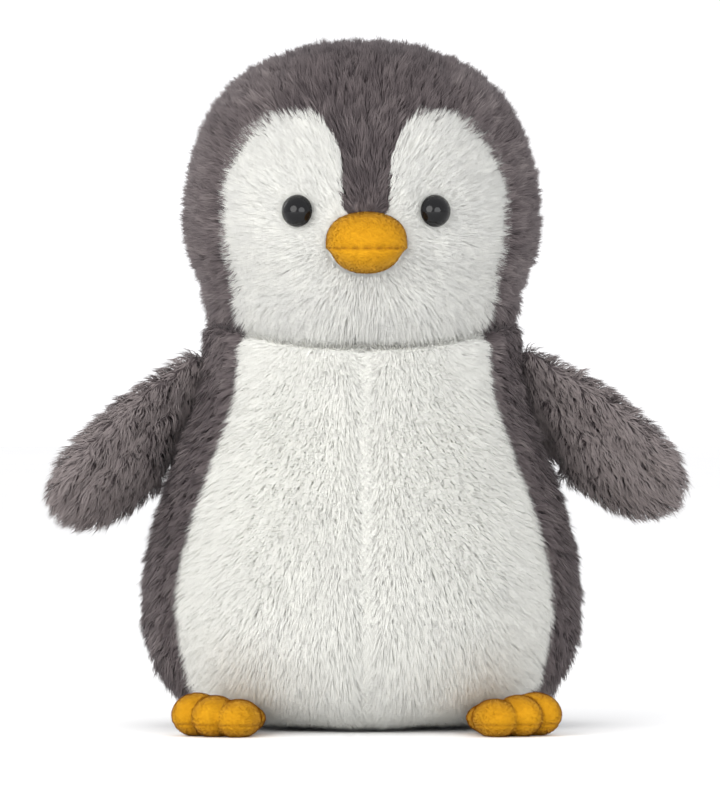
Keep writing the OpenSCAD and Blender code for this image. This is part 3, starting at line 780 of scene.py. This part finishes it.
face, crown, cheek = puff(face_panel(), 5), puff(crown_panel(), 5), puff(side_panel(), 5)
for side, flip in (("left", False), ("right", True)):
    # The face's white pile is toned darker than the belly's: painted shade where the upturned face takes more
    # light.
    furry(f"face_pile_{side}", face, "white_fur", "head", [f"face_{side}"], WHITE, head_comb,
          HEAD_C, keep=head_keep, flip=flip, seed=51 + flip, bias=-0.45, **SOFT)
    furry(f"head_pile_{side}", cheek, "grey_fur", "head", [f"head_side_{side}"], GREY, head_comb,
          HEAD_C, keep=head_keep, flip=flip, seed=61 + flip, length=9.8, lean=46, wild=22, bias=-0.05)
furry("crown_pile", crown, "grey_fur", "head", ["crown_strip"], GREY, head_comb,
      HEAD_C, keep=head_keep, seed=71, length=10.6, lean=43, wild=24, bias=-0.3)

# ---- wings ----

def wing_panel(q0, q1, droop, sag):
    s = np.concatenate([np.linspace(-0.8, 0, 8), np.linspace(0, 0.995, 46)[1:]])[:, None]
    k = np.linspace(0, 1, 36)[None, :]
    q = mix(q0, q1, k)
    wide = 52.0
    pull = dent(k * wide, 2.2, 5) + dent((1 - k) * wide, 2.2, 5)
    return wing_at(s, q, WING_SKIN + pull * smooth(s / 0.1), droop, sag)


# The wings' pile is lightened well above the rest of the grey (bias 0.58): painted light for the light its
# fibre tips catch.
for side, flip, droop, sag in (("left", False, 37.0, 1.5), ("right", True, 42.0, 4.0)):
    lie = wing_comb(-1 if flip else 1, droop)
    for part, q0, q1, seed in (("inner", 66.0, 180.0, 81), ("outer", 180.0, 426.0, 83)):
        furry(f"wing_pile_{side}_{part}", wing_panel(q1, q0, droop, sag), "grey_fur", f"wing_{side}",
              [f"wing_{side}_{part}"], GREY, lie, wing_at(np.array(0.5), np.array(0), 22.0, droop, 0),
              flip=flip, seed=seed + 4 * flip, length=10.5, lean=48, wild=18, bias=0.58)
    lining = wing_at(np.linspace(-0.6, 0.96, 30)[:, None], np.linspace(0, 360, 41)[None, :-1],
                     WING_SKIN + 3.4, droop, sag)
    filling(f"wing_filling_{side}", lining.reshape(-1, 3) * np.array([-1 if flip else 1, 1, 1]),
            grid_faces(30, 40, True), f"wing_{side}", f"wing_{side}_stuffing")

# ---- beak, feet, eyes ----

def fuzz(rng, p, faces, thick, length, way):
    """Short nap on a felt surface, as thin three-cornered hairs."""
    root, nrm = scatter(rng, p, faces, thick, corner_normals(p, faces))
    nrm = unit(nrm)
    n = len(root)
    lie = unit(way + rng.normal(0, 0.5, (n, 3)))
    rise = unit(nrm + 0.8 * (lie - dot(lie, nrm) * nrm))
    tip = root + rise * (length * rng.uniform(0.5, 1.2, n))[:, None]
    side = unit(np.cross(tip - root, nrm + rng.normal(0, 0.3, (n, 3)))) * 0.09
    points = np.stack([root - side, root + side, tip], 1).reshape(-1, 3)
    return points, np.repeat(nrm, 3, 0)


def felt_piece(name, p, faces, nodes, body, seed, way, sewn):
    """Half of a felt form with its nap. sewn is 1 on the stitch line and 0 away from it."""
    fp, fn = fuzz(np.random.default_rng(seed), p, faces, NAP, 0.6, np.array(way))
    n_of = corner_normals(p, faces)
    points = np.concatenate([p, fp])
    points[:, 2] = np.maximum(points[:, 2], 0.02)
    tris = len(p) + np.arange(len(fp)).reshape(-1, 3)
    obj = new_mesh(name, points, faces, tris, np.concatenate([n_of, fn]),
                   tone=np.concatenate([sewn, np.zeros(len(fp))]))
    obj.data.materials.append(AMBER)
    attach(obj, body)
    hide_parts(*nodes)


w = np.linspace(-90, 90, 72)[:, None]
e = np.linspace(0, 90, 30)[None, :]
for name, high, side in (("upper", BEAK_UP, 1), ("lower", BEAK_DOWN, -1)):
    stitch = 0.8 + 0.2 * np.cos(rad(w * 14))
    tuck = 1.5 * np.exp(-(e / 7) ** 2) * stitch * np.cos(rad(w)) ** 0.7
    shape = beak_at(w, e, high, side, tuck)
    shape += unit(shape - np.array([0, -70, 210])) * ((lumps(shape, 9.0, 9) - 0.5) * 0.4)[..., None]
    faces = grid_faces(72, 30)
    felt_piece(f"beak_knit_{name}", shape.reshape(-1, 3), faces[:, ::-1] if side > 0 else faces,
               [f"beak_{name}"], "head", 91, (0, -0.3, -1),
               (np.exp(-(e / 3.2) ** 2) * (0.7 + 0.3 * np.cos(rad(w * 20)))).ravel())


def spun(p, angle):
    """Points or directions turned about Z."""
    c, s = math.cos(math.radians(angle)), math.sin(math.radians(angle))
    return xyz(c * p[..., 0] - s * p[..., 1], s * p[..., 0] + c * p[..., 1], p[..., 2])


def ball_dir(a, b):
    """The direction a degrees from up and b round."""
    return xyz(np.sin(rad(a)) * np.cos(rad(b)), np.sin(rad(a)) * np.sin(rad(b)), np.cos(rad(a)))


def melted(balls, voxel):
    """One skin round several stretched balls, each (middle, half sizes, turn about Z)."""
    parts = bpy.data.meshes.new("parts")
    points, faces = [], []
    a = np.linspace(4, 176, 18)[:, None]
    b = np.linspace(0, 360, 37)[None, :-1]
    for middle, half, angle in balls:
        q = spun(ball_dir(a, b) * np.array(half), angle) + np.array(middle)
        start = sum(len(x) for x in points)
        points.append(q.reshape(-1, 3))
        faces += [[int(i) + start for i in f] for f in grid_faces(18, 36, True)]
        faces.append([start + i for i in range(36)][::-1])
        faces.append([start + 17 * 36 + i for i in range(36)])
    parts.from_pydata(np.concatenate(points).tolist(), [], faces)
    obj = bpy.data.objects.new("parts", parts)
    bpy.context.scene.collection.objects.link(obj)
    mod = obj.modifiers.new("skin", "REMESH")
    mod.mode = "VOXEL"
    mod.voxel_size = voxel
    relax = obj.modifiers.new("relax", "SMOOTH")
    relax.iterations = 3
    relax.factor = 0.6
    made = bpy.data.meshes.new_from_object(obj.evaluated_get(bpy.context.evaluated_depsgraph_get()))
    p = np.zeros(len(made.vertices) * 3, np.float32)
    made.vertices.foreach_get("co", p)
    quads = np.array([list(f.vertices) for f in made.polygons if len(f.vertices) == 4])
    bpy.data.objects.remove(obj)
    return p.reshape(-1, 3).astype(float), quads


# Three toes and the heel about the foot's own middle, toes towards -Y: middle, half sizes, turn about Z.
TOES = [((-9.6, -9.0, 7.6), (9.6, 14.5, 8.2), -8), ((1.0, -10.0, 8.4), (8.8, 14.5, 8.9), 2),
        ((10.4, -7.5, 9.0), (8.6, 14.0, 9.2), 12), ((0, 6, 6.8), (14.5, 15.0, 7.4), 0)]
shape, quads = melted(TOES, 0.75)
shape[:, 2] = np.maximum(shape[:, 2], 0.05) + 0.15 * lumps(shape, 9.0, 4)
sewn = np.exp(-((shape[:, 2] - FOOT_STITCH_Z) / 0.55) ** 2)
shape_n = corner_normals(shape, quads)
if dot(shape_n, shape - np.array([0, 0, 8])).mean() < 0:
    quads = quads[:, ::-1]
    shape_n = -shape_n
shape = shape - shape_n * (0.3 * sewn)[:, None]
for side, sign in (("left", 1), ("right", -1)):
    mirror = np.array([sign, 1, 1])
    p = (spun(shape, FOOT_SPLAY) + np.array([FOOT_X, -FOOT_Y, 0])) * mirror
    wound = quads if sign > 0 else quads[:, ::-1]
    high = p[quads].mean(1)[:, 2] > FOOT_STITCH_Z
    inner = p - spun(shape_n, FOOT_SPLAY) * mirror * 1.4
    inner[:, 2] = np.maximum(inner[:, 2], 1.2)
    filling(f"foot_filling_{side}", inner, wound, "body", f"foot_{side}_stuffing")
    for part, mine in (("upper", high), ("sole", ~high)):
        faces = wound[mine]
        used = np.unique(faces)
        new = np.zeros(len(p), int)
        new[used] = np.arange(len(used))
        felt_piece(f"foot_knit_{side}_{part}", p[used], new[faces], [f"foot_{side}_{part}"], "body",
                   95, (0, -1, -0.2), 0.3 * sewn[used])

# An eye is most of a ball, whose middle lies this far under the surface of the pile.
EYE_BALL_R, EYE_SINK = EYE_R * 1.08, 3.4 + EYE_R * 0.12
for side, sign in (("left", 1), ("right", -1)):
    mirror = np.array([sign, 1, 1])
    d = front_dir(np.array(EYE_X), np.array(EYE_Z))
    out = unit(d / np.array([HEAD_RX, HEAD_RY, HEAD_UP]) ** 2) * mirror
    x_way = unit(np.cross(np.array([0, 0, 1.0]), out))
    to = ball_dir(np.linspace(0.5, 78, 34)[:, None], np.linspace(0, 360, 73)[None, :-1])
    p = EYE_AT[1] * mirror - out * EYE_SINK + EYE_BALL_R * (to @ np.stack([x_way, np.cross(out, x_way), out]))
    eye = new_mesh(f"eye_dome_{side}", p.reshape(-1, 3), grid_faces(34, 72, True), uv=grid_uv(34, 72, 0))
    eye.data.materials.append(BLACK)
    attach(eye, "head")
    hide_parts(f"eye_{side}")

# ---- the label, a ribbon that hangs out of the back seam ----

def hang(points, faces, held, scale, frames):
    """Let a sheet fall as cloth for some frames, held by some of its points.

    It is scaled up for the solver, and gravity is weakened, so that a short stiff ribbon does not fold up.
    """
    mesh = bpy.data.meshes.new("cloth")
    mesh.from_pydata((points * MM * scale).tolist(), [], faces.tolist())
    obj = bpy.data.objects.new("cloth", mesh)
    bpy.context.scene.collection.objects.link(obj)
    group = obj.vertex_groups.new(name="held")
    group.add(held.tolist(), 1.0, "REPLACE")
    cloth = obj.modifiers.new("cloth", "CLOTH")
    cloth.settings.quality = 10
    cloth.settings.mass = 0.15
    cloth.settings.air_damping = 2.0
    cloth.settings.effector_weights.gravity = 0.35
    cloth.settings.tension_stiffness = 80
    cloth.settings.compression_stiffness = 80
    cloth.settings.shear_stiffness = 60
    cloth.settings.bending_stiffness = 40
    cloth.settings.vertex_group_mass = "held"
    cloth.point_cache.frame_end = frames
    for frame_now in range(1, frames + 1):
        bpy.context.scene.frame_set(frame_now)
    made = bpy.data.meshes.new_from_object(obj.evaluated_get(bpy.context.evaluated_depsgraph_get()))
    out = np.zeros(len(made.vertices) * 3, np.float32)
    made.vertices.foreach_get("co", out)
    bpy.data.objects.remove(obj)
    bpy.context.scene.frame_set(1)
    return out.reshape(-1, 3).astype(float) / (MM * scale)


# Rows run along the label from its root, 7 mm down in the pile. The first LABEL_HELD of them are held.
LABEL_W, LABEL_L, LABEL_Z = 16.0, 27.0, 34.0
LABEL_ROWS, LABEL_COLS, LABEL_HELD = 28, 17, 9
u = np.linspace(0, 1, LABEL_ROWS)[:, None]
v = np.linspace(-0.5, 0.5, LABEL_COLS)[None, :]
ribbon = xyz(0.3 * np.sin(u * 4), DEPTH * BODY_R - 7.0 + LABEL_L * u, LABEL_Z + LABEL_W * v)
ribbon_faces = grid_faces(LABEL_ROWS, LABEL_COLS)
ribbon = hang(ribbon.reshape(-1, 3), ribbon_faces, np.arange(LABEL_COLS * LABEL_HELD), 40.0, 24)
label = new_mesh("label_ribbon", ribbon, ribbon_faces, uv=grid_uv(LABEL_ROWS, LABEL_COLS))
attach(label, "body")
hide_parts("care_label")

# ---- hidden and small CAD parts ----

def plain(name, low, high, scale, rough):
    """A material mottled between two colours, with a bump to match."""
    m, t, b = start_material(name, rough)
    grain = noise(t, scale, 3.0, 0.6)
    t.links.new(ramp(t, grain, [(0.3, srgb(low)), (0.7, srgb(high))]), b.inputs["Base Color"])
    bumpy(t, b, grain, 0.4, 0.001)
    return m


FILLING = plain("polyester_filling", "dededa", "f8f8f6", 260.0, 0.9)
BAG = plain("bag_weave", "c9c1b2", "ded8cc", 900.0, 0.85)
WASHER = plain("moulded_washer", "dcdcd8", "e8e8e4", 400.0, 0.5)
RIBBON = plain("satin_ribbon", "eeeeec", "f6f6f4", 1400.0, 0.45)
label.data.materials.append(RIBBON)
for obj in FILLINGS:
    obj.data.materials.append(FILLING)
for obj in list(bpy.context.scene.objects):
    cad = obj.get("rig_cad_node")
    if cad is None or obj.type != "MESH":
        continue
    chosen = (FILLING if "stuffing" in cad or cad == "neck_wad" else BAG if cad == "pellet_bag"
              else WASHER if "washer" in cad else None)
    if chosen:
        obj.data.materials.clear()
        obj.data.materials.append(chosen)

# ---- studio ----

world = bpy.data.worlds.new("studio")
bpy.context.scene.world = world
world.use_nodes = True
sky = world.node_tree.nodes["Background"]
sky.inputs["Color"].default_value = (0.99, 0.99, 1.0, 1)
sky.inputs["Strength"].default_value = 1.12


def softbox(name, at, to, size, energy, colour=(1, 1, 1)):
    lamp = bpy.data.lights.new(name, "AREA")
    lamp.shape = "DISK"
    lamp.size = size
    lamp.energy = energy
    lamp.color = colour
    obj = bpy.data.objects.new(name, lamp)
    obj.location = at
    obj.rotation_euler = (Vector(to) - Vector(at)).to_track_quat("-Z", "Y").to_euler()
    bpy.context.scene.collection.objects.link(obj)


softbox("key", (-1.1, -1.6, 0.65), (0, 0, 0.14), 1.6, 34.5, (1.0, 0.99, 0.97))
softbox("front", (0.75, -1.9, 0.35), (0, 0, 0.12), 1.5, 25.5, (0.98, 0.99, 1.0))
softbox("rim", (-1.2, 0.9, 0.9), (0, 0, 0.15), 0.8, 4.0)

floor_mesh = bpy.data.meshes.new("floor")
floor_mesh.from_pydata([(-6, -6, 0), (6, -6, 0), (6, 6, 0), (-6, 6, 0)], [], [(0, 1, 2, 3)])
floor = bpy.data.objects.new("floor", floor_mesh)
bpy.context.scene.collection.objects.link(floor)
floor_look, t, b = start_material("pale_floor", 0.9)
pale = ramp(t, noise(t, 3.0, 2.0, 0.5), [(0.3, (0.88, 0.88, 0.88)), (0.7, (0.9, 0.9, 0.9))])
t.links.new(pale, b.inputs["Base Color"])
floor_mesh.materials.append(floor_look)

bpy.context.scene.view_settings.view_transform = "Standard"

# ---- camera, at the height and side of the photograph ----

cam_data = bpy.data.cameras.new("camera")
cam = bpy.data.objects.new("camera", cam_data)
bpy.context.scene.collection.objects.link(cam)
bpy.context.scene.camera = cam
azimuth, elevation, far = math.radians(-1.5), math.radians(0.8), 3.6
# how wide the picture is, in metres, where the toy stands
shown = 0.341
back_way = Vector((math.sin(azimuth) * math.cos(elevation), -math.cos(azimuth) * math.cos(elevation),
                   math.sin(elevation)))
aim = Vector((-0.0016, -0.03, 0.1462))
cam.location = aim + back_way * far
cam.rotation_euler = (-back_way).to_track_quat("-Z", "Y").to_euler()
cam_data.sensor_width = 36
cam_data.lens = 36 * far / shown
